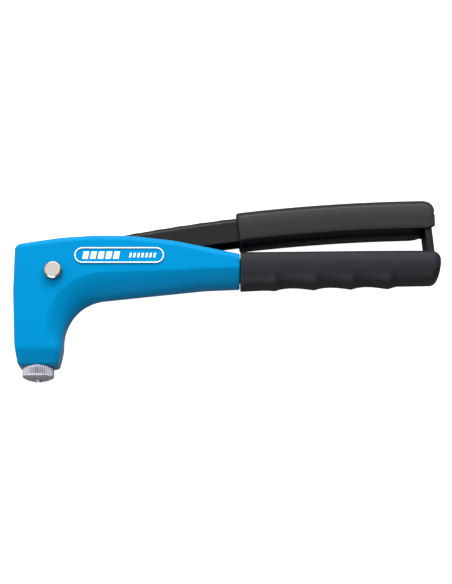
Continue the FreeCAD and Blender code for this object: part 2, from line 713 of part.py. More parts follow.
def make_case_nut():
    """Hexagonal lock nut on the pull tube, tight against the jaw case."""
    body = new_body("case_nut")
    hexagon = sketch_on(body, "XZ_Plane", "hexagon", -size.nut_top)
    corners = []
    for step in range(6):
        turn = 30 + 60 * step
        corners.append((
            size.case_radius * round(math.cos(math.radians(turn)), 6),
            size.case_radius * round(math.sin(math.radians(turn)), 6)))
    polygon(hexagon, corners)
    circle(hexagon, 0, 0, size.tube_radius + size.thread_gap)
    pad(hexagon, size.nut_top - size.case_top, symmetric=False)
    return body


def make_pull_tube():
    body = new_body("pull_tube")
    top = size.crosshead_under + size.crosshead_thickness
    turned(body, "tube_profile", [
        (size.tube_bore, size.tube_bottom), (size.tube_radius, size.tube_bottom),
        (size.tube_radius, top), (size.tube_bore, top),
    ])
    return body


def make_crosshead():
    body = new_body("crosshead")
    plate = sketch_on(body, "XY_Plane", "plate_side")
    top = size.crosshead_under + size.crosshead_thickness
    polygon(plate, [
        (size.crosshead_left, size.crosshead_under), (size.crosshead_right, size.crosshead_under),
        (size.crosshead_right, top), (size.crosshead_left, top),
    ])
    pad(plate, size.crosshead_width)
    turned(body, "tube_seat", [
        (0, size.crosshead_under - 1), (size.tube_radius + size.thread_gap, size.crosshead_under - 1),
        (size.tube_radius + size.thread_gap, top + 1), (0, top + 1),
    ], "PartDesign::Groove")
    return body


def make_jaws():
    """Two half cones that grip the mandrel; a gap along the middle keeps them apart."""
    slope = (size.case_inner.value - size.case_mouth.value) / (
        size.case_cone_top.value - size.case_tip.value)
    clearance = size.jaw_clearance.value
    front_radius = size.case_mouth.value + slope * (size.jaw_front - size.case_tip).value - clearance
    back_radius = size.case_mouth.value + slope * (size.jaw_back - size.case_tip).value - clearance
    for side, name in ((1, "jaw_near"), (-1, "jaw_far")):
        body = new_body(name)
        turned(body, "jaw_cone_" + name, [
            (size.jaw_bore, size.jaw_front), (front_radius, size.jaw_front),
            (back_radius, size.jaw_back), (size.jaw_bore + 0.6, size.jaw_back),
            (size.jaw_bore, size.jaw_back - 0.6),
        ])
        half = sketch_on(body, "XY_Plane", "other_half_" + name, size.jaw_split / 2 * side)
        polygon(half, [
            (-9, size.jaw_front - 1), (9, size.jaw_front - 1), (9, size.jaw_back + 1),
            (-9, size.jaw_back + 1),
        ])
        cut = pocket(half, 12, symmetric=False)
        cut.Reversed = side == -1


def make_jaw_pusher():
    body = new_body("jaw_pusher")
    turned(body, "pusher_profile", [
        (size.pusher_bore, size.pusher_front), (size.pusher_bore + 1.6, size.pusher_front),
        (size.pusher_radius, size.pusher_front + 1.4), (size.pusher_radius, size.pusher_step),
        (size.pusher_neck, size.pusher_step), (size.pusher_neck, size.pusher_back),
        (size.pusher_bore, size.pusher_back),
    ])
    return body


def make_spring_seat():
    """Flanged bush in the head's roof: it seats the spring and lets spent mandrels out."""
    body = new_body("spring_seat")
    ceiling = size.head_ceiling
    turned(body, "seat_profile", [
        (size.seat_bore, ceiling - size.seat_flange),
        (size.seat_flange_radius, ceiling - size.seat_flange), (size.seat_flange_radius, ceiling),
        (size.seat_radius, ceiling), (size.seat_radius, size.seat_top),
        (size.seat_bore, size.seat_top),
    ])
    return body


def make_spring(name, mean, wire, turns, low, high):
    """A faceted wire swept along a helix round the nose axis, between two levels."""
    rise = (high - low).value - wire.value
    start = FreeCAD.Vector(mean.value, low.value + wire.value / 2, 0)
    helix = Part.makeHelix(rise / turns.value, rise, mean.value)
    helix.Placement = FreeCAD.Placement(
        FreeCAD.Vector(0, start.y, 0), FreeCAD.Rotation(FreeCAD.Vector(1, 0, 0), -90))
    facets = 8
    section = []
    for step in range(facets + 1):
        turn = 2 * math.pi * (step + 0.5) / facets
        section.append(start + FreeCAD.Vector(math.cos(turn), math.sin(turn), 0) * (wire.value / 2))
    coil = Part.Wire(helix).makePipeShell([Part.makePolygon(section)], True, True)
    spring = doc.addObject("Part::Feature", name)
    spring.Label = name
    spring.Shape = coil
    return spring


def make_springs():
    crosshead_top = size.crosshead_under + size.crosshead_thickness
    make_spring("return_spring", size.return_mean, size.return_wire, size.return_turns,
                crosshead_top + 0.05, size.head_ceiling - size.seat_flange - 0.05)
    make_spring("jaw_spring", size.jaw_spring_mean, size.jaw_spring_wire, size.jaw_spring_turns,
                size.pusher_step + 0.05, size.tube_bottom - 0.05)


# ---------------------------------------------------------------- latch
def make_latch():
    body = new_body("latch")
    barrel = sketch_on(body, "XY_Plane", "barrel")
    circle(barrel, size.latch_x, size.latch_y, size.barrel_radius)
    pad(barrel, size.barrel_width)

    lean = math.radians(DRIVING["latch_lean"])
    up = FreeCAD.Vector(-math.sin(lean), math.cos(lean), 0)
    across = FreeCAD.Vector(math.cos(lean), math.sin(lean), 0)
    foot = FreeCAD.Vector(DRIVING["latch_x"], DRIVING["latch_y"], 0)
    half = DRIVING["latch_thickness"] / 2

    def place(sideways, height):
        return foot + across * sideways + up * height

    height, shoulder = DRIVING["latch_height"], DRIVING["latch_shoulder"]
    neck = sketch_on(body, "XY_Plane", "neck")
    polygon(neck, [(spot.x, spot.y) for spot in (
        place(-half, 0), place(half, 0), place(half, shoulder + 1), place(-half, shoulder + 1))])
    pad(neck, size.barrel_width)

    reach, thick = DRIVING["hook_reach"], DRIVING["hook_thickness"]
    plate = sketch_on(body, "XY_Plane", "latch_plate")
    polygon(plate, [(spot.x, spot.y) for spot in (
        place(-half, shoulder), place(half, shoulder), place(half, height - 1.2),
        place(half - 1.2, height), place(-half, height))])
    pad(plate, size.latch_width)
    hook = sketch_on(body, "XY_Plane", "latch_hook")
    polygon(hook, [(spot.x, spot.y) for spot in (
        place(0, height - thick), place(0, height), place(-half - reach + 0.8, height),
        place(-half - reach, height - 0.8), place(-half - reach, height - thick))])
    pad(hook, size.hook_width)
    hole = sketch_on(body, "XY_Plane", "latch_hole")
    circle(hole, size.latch_x, size.latch_y, size.latch_hole_radius)
    pocket(hole, size.latch_width * 2)
    return body


def make_latch_pin():
    body = new_body("latch_pin")
    pin = sketch_on(body, "XY_Plane", "pin")
    circle(pin, size.latch_x, size.latch_y, size.latch_pin_radius)
    pad(pin, size.latch_pin_length)
    return body


# ---------------------------------------------------------------- finishing
def row_placement(name):
    """Move a sub-part into the row frame: middle of the footprint, lowest point at zero."""
    part = doc.getObject(name)
    part.setExpression("Placement.Base.x", "-(sizes.body_left + sizes.lower_end) / 2")
    part.setExpression(
        "Placement.Base.y",
        "-(sizes.nozzle_tip + sizes.arc_top + sizes.grip_wall) / 2")
    part.setExpression("Placement.Base.z", "sizes.lower_width / 2")


makers = [
    make_body_casting, make_badge_plate, make_pivot_pin, make_pivot_ring, make_lever_channel,
    make_catch_bar, make_upper_grip, make_lower_grip, make_nose_cap, make_nosepiece,
    make_jaw_case, make_case_nut, make_pull_tube, make_crosshead, make_jaws, make_jaw_pusher,
    make_spring_seat, make_springs, make_latch, make_latch_pin,
]
for make in makers:
    make()
doc.recompute()
sub_parts = [item for item in doc.Objects
             if item.TypeId in ("PartDesign::Body", "Part::Feature")]
for item in sub_parts:
    row_placement(item.Name)
doc.recompute()

for item in doc.Objects:
    if "Invalid" in item.State or "Error" in item.State:
        raise RuntimeError(f"{item.Label} failed: {item.State}")
for item in sub_parts:
    if item.Shape.isNull() or not item.Shape.isValid():
        raise RuntimeError(f"{item.Label} has no valid shape")
for item in sub_parts:
    item.Shape.exportStep(f"parts/{item.Label}.step")
    print(item.Label, round(item.Shape.Volume), "mm3")
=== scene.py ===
"""The looks of the hand riveter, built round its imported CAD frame."""
import math

import bpy
import numpy as np
from mathutils import Matrix, Vector
from mathutils.geometry import delaunay_2d_cdt
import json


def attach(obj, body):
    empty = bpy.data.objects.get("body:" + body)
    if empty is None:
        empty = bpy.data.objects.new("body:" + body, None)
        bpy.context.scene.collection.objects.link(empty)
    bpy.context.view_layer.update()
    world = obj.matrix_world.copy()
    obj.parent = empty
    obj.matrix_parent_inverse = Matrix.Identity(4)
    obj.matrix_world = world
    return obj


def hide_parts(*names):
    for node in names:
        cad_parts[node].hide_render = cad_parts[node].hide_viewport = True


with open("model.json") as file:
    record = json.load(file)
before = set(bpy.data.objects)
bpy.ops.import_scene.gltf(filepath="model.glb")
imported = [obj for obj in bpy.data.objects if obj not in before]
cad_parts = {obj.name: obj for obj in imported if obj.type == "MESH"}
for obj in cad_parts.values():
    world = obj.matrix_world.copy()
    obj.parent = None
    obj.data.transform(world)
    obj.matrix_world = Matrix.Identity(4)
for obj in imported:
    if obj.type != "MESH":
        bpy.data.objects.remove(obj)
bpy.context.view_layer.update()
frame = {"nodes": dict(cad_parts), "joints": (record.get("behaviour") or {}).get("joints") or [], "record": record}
nodes = frame["nodes"]
joints = {joint["name"]: joint for joint in frame["joints"]}
mounts = {mount["name"]: mount for mount in frame["record"]["mounts"]}

# The tool's own frame, in millimetres: the nose axis is x = 0, the pivot's level is y = 0
# and the mid-plane is z = 0. The nose points to -y and the handles to +x.
MM = 0.001
PIVOT = joints["lever_hinge"]["pos_m"]
ORIGIN = Vector((mounts["rivet_nozzle"]["pos_m"][0], PIVOT[1], PIVOT[2]))
FROM_TOOL = Matrix.Translation(ORIGIN) @ Matrix.Scale(MM, 4)
PIVOT_X = 8.8          # the pivot pin's place along the tool
HALF_BODY = 13.2       # half the casting's thickness


# ---------------------------------------------------------------- camera, light and floor
CAMERA_TARGET = (116.22, -9.906, 0)    # mm, in the tool's frame
CAMERA_ELEVATION = 75                  # degrees above the floor, on the nose's side
CAMERA_DISTANCE = 1.011                # m
CAMERA_LENS = 99.2466                  # mm, on a 36 mm sensor

# The room's brightness rises along this direction: overhead, and a little to the tool's top
# and to the head's end.
SKY_DIRECTION = (-0.35, 0.55, 1)
SKY_RANGE = {"From Min": -0.1, "From Max": 1.2, "To Min": 0.08, "To Max": 1.8}
FLOOR_TONE, FLOOR_GLOW = 0.3, 1.05
FLOOR_SIZE = 6                         # m
FLOOR_GAP = 0.0002                     # m under the tool, so that the two faces don't meet


def make_camera():
    """A long lens above the tool, tilted to its nose's side."""
    elevation = math.radians(CAMERA_ELEVATION)
    back = Vector((0, -math.cos(elevation), math.sin(elevation)))
    data = bpy.data.cameras.new("camera")
    data.sensor_width = 36
    data.lens = CAMERA_LENS
    camera = bpy.data.objects.new("camera", data)
    bpy.context.collection.objects.link(camera)
    camera.location = FROM_TOOL @ Vector(CAMERA_TARGET) + back * CAMERA_DISTANCE
    camera.rotation_euler = (-back).to_track_quat("-Z", "Y").to_euler()
    bpy.context.scene.camera = camera


def area_light(name, place, size, power):
    """A rectangular light aimed at the middle of the tool."""
    data = bpy.data.lights.new(name, "AREA")
    data.shape = "RECTANGLE"
    data.size, data.size_y = size
    data.energy = power
    light = bpy.data.objects.new(name, data)
    bpy.context.collection.objects.link(light)
    light.location = place
    light.rotation_euler = (-light.location).to_track_quat("-Z", "Y").to_euler()
    return light


def make_light():
    """A soft room whose backdrop is white, a long softbox, and a light that only shows in gloss."""
    world = bpy.data.worlds.new("studio")
    bpy.context.scene.world = world
    world.use_nodes = True
    tree = world.node_tree
    tree.nodes["Background"].inputs["Color"].default_value = (1, 1, 1, 1)
    place = tree.nodes.new("ShaderNodeTexCoord")
    height = tree.nodes.new("ShaderNodeVectorMath")
    height.operation = "DOT_PRODUCT"
    height.inputs[1].default_value = SKY_DIRECTION
    tree.links.new(place.outputs["Generated"], height.inputs[0])
    fall = tree.nodes.new("ShaderNodeMapRange")
    fall.interpolation_type = "SMOOTHSTEP"
    for socket, value in SKY_RANGE.items():
        fall.inputs[socket].default_value = value
    tree.links.new(height.outputs["Value"], fall.inputs["Value"])
    path = tree.nodes.new("ShaderNodeLightPath")
    shown = tree.nodes.new("ShaderNodeMath")
    shown.operation = "MAXIMUM"
    tree.links.new(fall.outputs["Result"], shown.inputs[0])
    tree.links.new(path.outputs["Is Camera Ray"], shown.inputs[1])
    tree.links.new(shown.outputs["Value"], tree.nodes["Background"].inputs["Strength"])
    area_light("top_softbox", (0.05, 0.8, 0.6), (1.2, 0.4), 12.0)
    low_gloss = area_light("low_gloss", (-0.3, -0.85, 0.45), (1.2, 0.6), 13.0)
    low_gloss.visible_diffuse = False


def make_floor():
    """A white floor. It looks lit like a light table, and throws little light back up."""
    bpy.ops.mesh.primitive_plane_add(size=FLOOR_SIZE, location=(0, 0, -FLOOR_GAP))
    floor = bpy.context.object
    floor.name = "floor"
    material = bpy.data.materials.new("pale_floor")
    material.use_nodes = True
    tree = material.node_tree
    shader = tree.nodes["Principled BSDF"]
    shader.inputs["Roughness"].default_value = 0.9
    shader.inputs["Specular IOR Level"].default_value = 0.0
    shader.inputs["Base Color"].default_value = (FLOOR_TONE, FLOOR_TONE, FLOOR_TONE, 1)
    shader.inputs["Emission Color"].default_value = (1, 1, 1, 1)
    path = tree.nodes.new("ShaderNodeLightPath")
    glow = tree.nodes.new("ShaderNodeMath")
    glow.operation = "MULTIPLY"
    glow.inputs[1].default_value = FLOOR_GLOW
    tree.links.new(path.outputs["Is Camera Ray"], glow.inputs[0])
    tree.links.new(glow.outputs["Value"], shader.inputs["Emission Strength"])
    floor.data.materials.append(material)


make_camera()
make_light()
make_floor()
bpy.context.scene.view_settings.view_transform = "Standard"


# ---------------------------------------------------------------- materials
BROAD_GRAIN = 45       # scale of the slow change of colour over a piece
GLOSS_SPREAD = 0.08    # how far roughness goes either way
RELIEF = 0.0002        # m, the height of the surface grain


def srgb(red, green, blue):
    """Linear colour from 0 to 255 display values."""
    def linear(value):
        value /= 255
        return value / 12.92 if value <= 0.04045 else ((value + 0.055) / 1.055) ** 2.4
    return (linear(red), linear(green), linear(blue), 1)


def surface(name, colour, roughness, metallic=0.0, specular=0.5, grain=900, bump=0.0,
            variation=0.06, sheen=0.0, edge_tint=(1, 1, 1, 1)):
    """A material: its colour varies broadly, its gloss and relief on the scale of its grain."""
    material = bpy.data.materials.new(name)
    material.use_nodes = True
    tree = material.node_tree
    shader = tree.nodes["Principled BSDF"]
    place = tree.nodes.new("ShaderNodeTexCoord")
    fine = tree.nodes.new("ShaderNodeTexNoise")
    fine.inputs["Scale"].default_value = grain
    fine.inputs["Detail"].default_value = 3
    broad = tree.nodes.new("ShaderNodeTexNoise")
    broad.inputs["Scale"].default_value = BROAD_GRAIN
    broad.inputs["Detail"].default_value = 2
    for noise in (fine, broad):
        tree.links.new(place.outputs["Object"], noise.inputs["Vector"])
    tint = tree.nodes.new("ShaderNodeMix")
    tint.data_type = "RGBA"
    for socket, gain in (("A", 1 - variation), ("B", 1 + variation)):
        tint.inputs[socket].default_value = [min(1, channel * gain) for channel in colour[:3]] + [1]
    tree.links.new(broad.outputs["Fac"], tint.inputs["Factor"])
    tree.links.new(tint.outputs["Result"], shader.inputs["Base Color"])
    gloss = tree.nodes.new("ShaderNodeMapRange")
    gloss.inputs["To Min"].default_value = roughness - GLOSS_SPREAD
    gloss.inputs["To Max"].default_value = roughness + GLOSS_SPREAD
    tree.links.new(fine.outputs["Fac"], gloss.inputs["Value"])
    tree.links.new(gloss.outputs["Result"], shader.inputs["Roughness"])
    shader.inputs["Metallic"].default_value = metallic
    shader.inputs["Specular IOR Level"].default_value = specular
    shader.inputs["Specular Tint"].default_value = edge_tint
    shader.inputs["Sheen Weight"].default_value = sheen
    shader.inputs["Sheen Roughness"].default_value = 0.35
    if bump:
        relief = tree.nodes.new("ShaderNodeBump")
        relief.inputs["Strength"].default_value = bump
        relief.inputs["Distance"].default_value = RELIEF
        tree.links.new(fine.outputs["Fac"], relief.inputs["Height"])
        tree.links.new(relief.outputs["Normal"], shader.inputs["Normal"])
    return material


BLUE = surface("blue_paint", srgb(0, 120, 172), 0.38, specular=0.19, grain=1500, bump=0.06,
               variation=0.02, edge_tint=(0.03, 0.42, 0.8, 1), sheen=0.08)
BLACK_STEEL = surface("black_enamel", srgb(4, 4, 5), 0.36, specular=0.18, grain=2200, bump=0.25)
GRIP_UPPER = surface("upper_grip_plastic", srgb(12, 12, 17), 0.38, specular=0.21, grain=2600,
                     bump=0.2)
GRIP_LOWER = surface("lower_grip_plastic", srgb(14, 14, 24), 0.57, specular=0.21, grain=2600,
                     bump=0.2)
CHROME = surface("chrome_plate", srgb(167, 161, 157), 0.12, metallic=1.0, variation=0.01)
ZINC = surface("zinc_plate", srgb(160, 160, 168), 0.34, metallic=1.0, variation=0.04)
STEEL = surface("hard_steel", srgb(120, 120, 124), 0.35, metallic=1.0, variation=0.06)
SPRING = surface("spring_wire", srgb(130, 130, 134), 0.3, metallic=1.0, variation=0.05)
WHITE_PRINT = surface("white_print", srgb(222, 232, 240), 0.35, variation=0.01)
BADGE_BLUE = surface("badge_blue", srgb(0, 122, 180), 0.25, specular=0.4, variation=0.01,
                     edge_tint=(0.0, 0.5, 0.9, 1))
# painted shade: a dark blue put on the badge's walls, where shade falls under the rim and inside it
BADGE_PAINTED_SHADE = surface("badge_painted_shade", srgb(6, 52, 86), 0.4, specular=0.2, variation=0.01)

NODE_FINISH = {
    "body_casting": BLUE, "badge_plate": WHITE_PRINT, "pivot_pin": CHROME, "pivot_ring": SPRING,
    "lever_channel": BLACK_STEEL, "catch_bar": STEEL, "upper_grip": GRIP_UPPER,
    "lower_grip": GRIP_LOWER, "nose_cap": ZINC, "nosepiece": ZINC, "jaw_case": STEEL,
    "case_nut": STEEL, "pull_tube": STEEL, "crosshead": STEEL, "jaw_near": STEEL,
    "jaw_far": STEEL, "jaw_pusher": STEEL, "spring_seat": ZINC, "return_spring": SPRING,
    "jaw_spring": SPRING, "latch": BLACK_STEEL, "latch_pin": STEEL,
}
for node, material in NODE_FINISH.items():
    nodes[node].data.materials.clear()
    nodes[node].data.materials.append(material)


# ---------------------------------------------------------------- mesh helpers
def new_piece(name, points, faces, material):
    """A mesh object from points in the tool's frame."""
    mesh = bpy.data.meshes.new(name)
    mesh.from_pydata([tuple(point) for point in points], [], faces)
    mesh.transform(FROM_TOOL)
    mesh.materials.append(material)
    piece = bpy.data.objects.new(name, mesh)
    bpy.context.collection.objects.link(piece)
    return piece


def shade(piece, angle=35):
    """Smooth shading, with the edges over an angle kept sharp."""
    mesh = piece.data
    mesh.validate()
    mesh.polygons.foreach_set("use_smooth", [True] * len(mesh.polygons))
    mesh.set_sharp_from_angle(angle=math.radians(angle))


def combine(piece, other, operation):
    """Apply one boolean with another piece, which is used up."""
    modifier = piece.modifiers.new("boolean", "BOOLEAN")
    modifier.operation = operation
    modifier.solver = "EXACT"
    modifier.object = other
    bpy.context.view_layer.objects.active = piece
    bpy.ops.object.modifier_apply(modifier=modifier.name)
    bpy.data.objects.remove(other)


def prism(outline, low, high, plane="xy", material=None):
    """A closed prism on an outline in the given plane, from low to high across it."""
    placed = {"xy": lambda a, b, c: (a, b, c), "yz": lambda a, b, c: (c, a, b),
              "xz": lambda a, b, c: (a, c, b)}[plane]
    count = len(outline)
    points = [placed(a, b, level) for level in (low, high) for a, b in outline]
    faces = [list(range(count))[::-1], list(range(count, 2 * count))]
    for step in range(count):
        after = (step + 1) % count
        faces.append([step, after, count + after, count + step])
    if plane == "xz":
        faces = [face[::-1] for face in faces]
    area = sum(a[0] * b[1] - b[0] * a[1] for a, b in zip(outline, outline[1:] + outline[:1]))
    if area < 0:
        faces = [face[::-1] for face in faces]
    return new_piece("prism", points, faces, material or STEEL)


def turned(name, profile, material, axis="y", centre=(0, 0), count=96, ripple=None):
    """A closed outline of (radius, height) corners turned about an axis.

    What ripple(angle, radius, height) gives is taken off the radius.
    """
    points = []
    for step in range(count):
        angle = 2 * math.pi * step / count
        for radius, height in profile:
            if ripple:
                radius -= ripple(angle, radius, height)
            a, b = radius * math.cos(angle), radius * math.sin(angle)
            if axis == "y":
                points.append((centre[0] + a, height, centre[1] - b))
            else:
                points.append((centre[0] + a, centre[1] + b, height))
    rows = len(profile)
    faces = []
    for step in range(count):
        after = (step + 1) % count
        for row in range(rows):
            below = (row + 1) % rows
            faces.append([step * rows + row, after * rows + row,
                          after * rows + below, step * rows + below])
    return new_piece(name, points, faces, material)


def disc_cutter(radius, low, high, axis="y", centre=(0, 0)):
    """A cylinder along an axis, to cut a bore with."""
    count = 64
    outline = [(centre[0] + radius * math.cos(2 * math.pi * step / count),
                centre[1] + radius * math.sin(2 * math.pi * step / count)) for step in range(count)]
    return prism(outline, low, high, "xz" if axis == "y" else "xy")


def tidy_normals(piece):
    """Close up doubled points and point every face outwards."""
    bpy.context.view_layer.objects.active = piece
    piece.select_set(True)
    bpy.ops.object.mode_set(mode="EDIT")
    bpy.ops.mesh.select_all(action="SELECT")
    bpy.ops.mesh.remove_doubles(threshold=1e-6)
    bpy.ops.mesh.normals_make_consistent(inside=False)
    bpy.ops.object.mode_set(mode="OBJECT")
    piece.select_set(False)


def loft(name, sections, material):
    """A closed solid through rings of equal length, with a flat cap at each end."""
    count = len(sections[0])
    points = [point for section in sections for point in section]
    faces = []
    for step in range(len(sections) - 1):
        for spot in range(count):
            after = (spot + 1) % count
            faces.append([step * count + spot, step * count + after,
                          (step + 1) * count + after, (step + 1) * count + spot])
    faces.append(list(range(count))[::-1])
    faces.append(list(range(len(points) - count, len(points))))
    return new_piece(name, points, faces, material)


def stand_for(piece, body, replaced):
    """Show a piece on a body in place of a CAD node."""
    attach(piece, body)
    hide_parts(replaced)


# ---------------------------------------------------------------- curves in the plane
def ramp(value, low, high):
    """0 below low, 1 above high and smooth between them."""
    share = min(1, max(0, (value - low) / (high - low)))
    return share * share * (3 - 2 * share)


def corner_arc(centre, width, height, start, stop, steps):
    """Points of an elliptical arc, angles in degrees."""
    angles = [math.radians(start + (stop - start) * step / steps) for step in range(steps + 1)]
    return [(centre[0] + width * math.cos(a), centre[1] + height * math.sin(a)) for a in angles]


def inside(points, loop):
    """Which points lie inside a closed loop."""
    answer = np.zeros(len(points), bool)
    for (x0, y0), (x1, y1) in zip(loop[:-1], loop[1:]):
        crosses = (y0 > points[:, 1]) != (y1 > points[:, 1])
        at = x0 + (points[:, 1] - y0) * (x1 - x0) / (y1 - y0 if y1 != y0 else 1)
        answer ^= crosses & (points[:, 0] < at)
    return answer


def distance(points, loop):
    """Each point's distance to the nearest edge of a loop."""
    best = np.full(len(points), np.inf)
    for start, end in zip(loop[:-1], loop[1:]):
        along = end - start
        share = np.clip(((points - start) @ along) / max(along @ along, 1e-9), 0, 1)
        best = np.minimum(best, np.linalg.norm(points - start - share[:, None] * along, axis=1))
    return best


def rounded_chain(corners, spacing):
    """Points along an open outline whose corners are rounded, with each point's edge rounding.

    A corner is (x, y, corner radius, rounding width, rounding depth).
    """
    path = []
    for step, (x, y, radius, width, depth) in enumerate(corners):
        corner = Vector((x, y))
        if step in (0, len(corners) - 1) or radius == 0:
            path.append((corner, width, depth))
            continue
        into = (Vector(corners[step - 1][:2]) - corner).normalized()
        out = (Vector(corners[step + 1][:2]) - corner).normalized()
        half = into.angle(out) / 2
        reach = radius / math.tan(half)
        centre = corner + (into + out).normalized() * (radius / math.sin(half))
        start = corner + into * reach - centre
        turn = math.pi - 2 * half
        if start.cross(corner + out * reach - centre) < 0:
            turn = -turn
        pieces = max(3, round(abs(turn) * radius / spacing))
        for piece in range(pieces + 1):
            angle = turn * piece / pieces
            spin = Matrix.Rotation(angle, 2)
            path.append((centre + spin @ start, width, depth))
    places = np.array([tuple(point) for point, _, _ in path])
    rounding = np.array([(width, depth) for _, width, depth in path])
    lengths = np.concatenate([[0], np.cumsum(np.linalg.norm(np.diff(places, axis=0), axis=1))])
    marks = np.linspace(0, lengths[-1], round(lengths[-1] / spacing) + 1)
    chain = np.stack([np.interp(marks, lengths, places[:, axis]) for axis in (0, 1)], axis=1)
    widths = np.stack([np.interp(marks, lengths, rounding[:, axis]) for axis in (0, 1)], axis=1)
    return chain, widths


def smoothed(values, passes):
    """Even out a row of values while its two ends stay put."""
    values = values.copy()
    for _ in range(passes):
        values[1:-1] = (values[:-2] + 2 * values[1:-1] + values[2:]) / 4
    return values


SPACING = 0.8          # between points along the casting's outline
EDGE_RINGS = 12        # steps round its edge, from the side to the flat of the face
GRID = 1.5             # between points inside the flat


def body_outline():
    """The casting's corners, clockwise from its lower edge at the lower grip."""
    grip_end, arm_round, elbow_round, plain_round = 124.2, (10.8, 12.2), (15.6, 13.1), (4.5, 4.5)
    return [
        (grip_end, -8.13, 0, *arm_round), (102, -9.1, 60, *arm_round),
        (15.05, -18.8, 28.2, *elbow_round), (15.1, -46.5, 20, *elbow_round),
        (12.6, -58.7, 2.8, 2.2, 4.5), (-12.1, -58.7, 2.4, 1.8, 3.5),
        (-14.2, -46.5, 60, 2.2, 2.2), (-16.1, -12, 60, 2.2, 2.2), (-16.1, 18.3, 4.2, 3.6, 3.6),
        (12, 22.8, 50, *plain_round), (33, 24.3, 60, *plain_round), (56, 24.1, 100, *plain_round),
        (84, 20.9, 80, *plain_round), (grip_end, 12.43, 0, *plain_round),
    ]


def body_depth(x, y, z):
    """The casting's faces: crowned towards its front edge and sloping in towards the nose."""
    front, crown_reach, crown_fall = -16.1, 18, 0.055
    slope_start, slope_blend = -49, 1.5
    slope_rate = 4.5 / 9.7 / HALF_BODY
    crown = crown_fall * np.clip(1 - (x - front) / crown_reach, 0, 1) ** 2
    below = slope_start - y
    slope = slope_rate * (below + np.sqrt(below ** 2 + slope_blend)) / 2
    return z * (1 - crown) * (1 - slope)


def edge_rounding(chain, widths):
    """Narrow the elbow's broad rounding steadily down the nose, then even the widths out."""
    narrow, nose_end, fade_length, passes = 4.2, -58, 36, 20
    nose = (chain[:, 0] > 10) & (chain[:, 1] < -9)
    fade = np.clip((chain[:, 1] - nose_end) / fade_length, 0, 1)[:, None]
    narrowed = np.minimum(widths, narrow + (widths - narrow) * fade)
    widths = np.where(nose[:, None], narrowed, widths)
    return np.stack([smoothed(widths[:, axis], passes) for axis in (0, 1)], axis=1)


def edge_levels(chain, widths):
    """The casting's half edge as rows of points, from its side up to the flat of its face."""
    tangent = np.gradient(chain, axis=0)
    inward = np.stack([tangent[:, 1], -tangent[:, 0]], axis=1)
    inward /= np.linalg.norm(inward, axis=1)[:, None]
    inward[0], inward[-1] = (0, 1), (0, -1)
    # a broad rounding leaves the flat of the face with a clearer break than a narrow one
    power = 1 + 0.78 * np.clip((widths[:, :1] - 5) / 5, 0, 1)
    levels = []
    for ring in range(EDGE_RINGS + 1):
        angle = math.pi / 2 * ring / EDGE_RINGS
        spots = chain + inward * (widths[:, :1] * (1 - max(0, math.cos(angle)) ** power))
        height = HALF_BODY - widths[:, 1] * (1 - math.sin(angle))
        levels.append(np.column_stack([spots, height]))
    return levels


def face_triangles(inner, end_x):
    """The flat of the face: its points, how many of them are its rim, and its triangles."""
    # a grid over the whole face, kept where it is well inside the rim
    grid = np.array([(x, y) for x in np.arange(-15, 124, GRID) for y in np.arange(-58, 25, GRID)])
    loop = np.vstack([inner, inner[:1]])
    keep = inside(grid, loop) & (distance(grid, loop) > SPACING)
    end_edge = [(end_x, y) for y in np.arange(inner[0, 1] + 1, inner[-1, 1] - 0.5, 1.0)]
    flat = [Vector(spot) for spot in inner] + [Vector(spot) for spot in end_edge[::-1]]
    rim = len(flat)
    flat += [Vector(spot) for spot in grid[keep]]
    spots, _, triangles, originals, _, _ = delaunay_2d_cdt(flat, [], [list(range(rim))], 1, 1e-5)
    if len(spots) != len(flat):
        raise RuntimeError("the face's triangles added points")
    order = [source[0] for source in originals]
    return flat, rim, [[order[corner] for corner in triangle] for triangle in triangles]


def make_body_shell():
    """The casting's outer shape, closed and solid, before anything is cut out of it."""
    chain, widths = rounded_chain(body_outline(), SPACING)
    levels = edge_levels(chain, edge_rounding(chain, widths))
    flat, rim, triangles = face_triangles(levels[-1][:, :2], chain[0, 0])
    size = len(chain)

    # both sides, from the back's inner ring round the edge to the front's
    points = []
    rows = []
    for side, chosen in ((-1, levels[::-1]), (1, levels)):
        for level in chosen:
            rows.append(list(range(len(points), len(points) + size)))
            points += [(x, y, side * z) for x, y, z in level]
    faces = []
    for low, high in zip(rows[:-1], rows[1:]):
        for step in range(size - 1):
            faces.append([low[step], low[step + 1], high[step + 1], high[step]])
    caps = {}
    for side, ring in ((-1, rows[0]), (1, rows[-1])):
        index = list(ring)
        for spot in flat[size:]:
            index.append(len(points))
            points.append((spot.x, spot.y, side * HALF_BODY))
        for triangle in triangles:
            face = [index[corner] for corner in triangle]
            faces.append(face if side == 1 else face[::-1])
        caps[side] = index[size:rim]
    end_loop = [row[0] for row in rows] + caps[1][::-1]
    end_loop += [row[-1] for row in rows[::-1]] + caps[-1]
    points = np.array(points)
    points[:, 2] = body_depth(*points.T)

    # the end at the lower grip is drawn in a little all round
    end_inset = 0.6
    middle = points[end_loop].mean(axis=0)
    rim_points = points[end_loop].copy()
    reach = np.linalg.norm(rim_points - middle, axis=1)[:, None]
    rim_points += (middle - rim_points) / reach * end_inset
    rim_points[:, 0] += end_inset
    start = len(points)
    points = np.vstack([points, rim_points])
    count = len(end_loop)
    for step in range(count):
        after = (step + 1) % count
        faces.append([end_loop[after], end_loop[step], start + step, start + after])
    faces.append(list(range(start, start + count)))
    shell = new_piece("body_shell", points, faces, BLUE)
    tidy_normals(shell)
    return shell


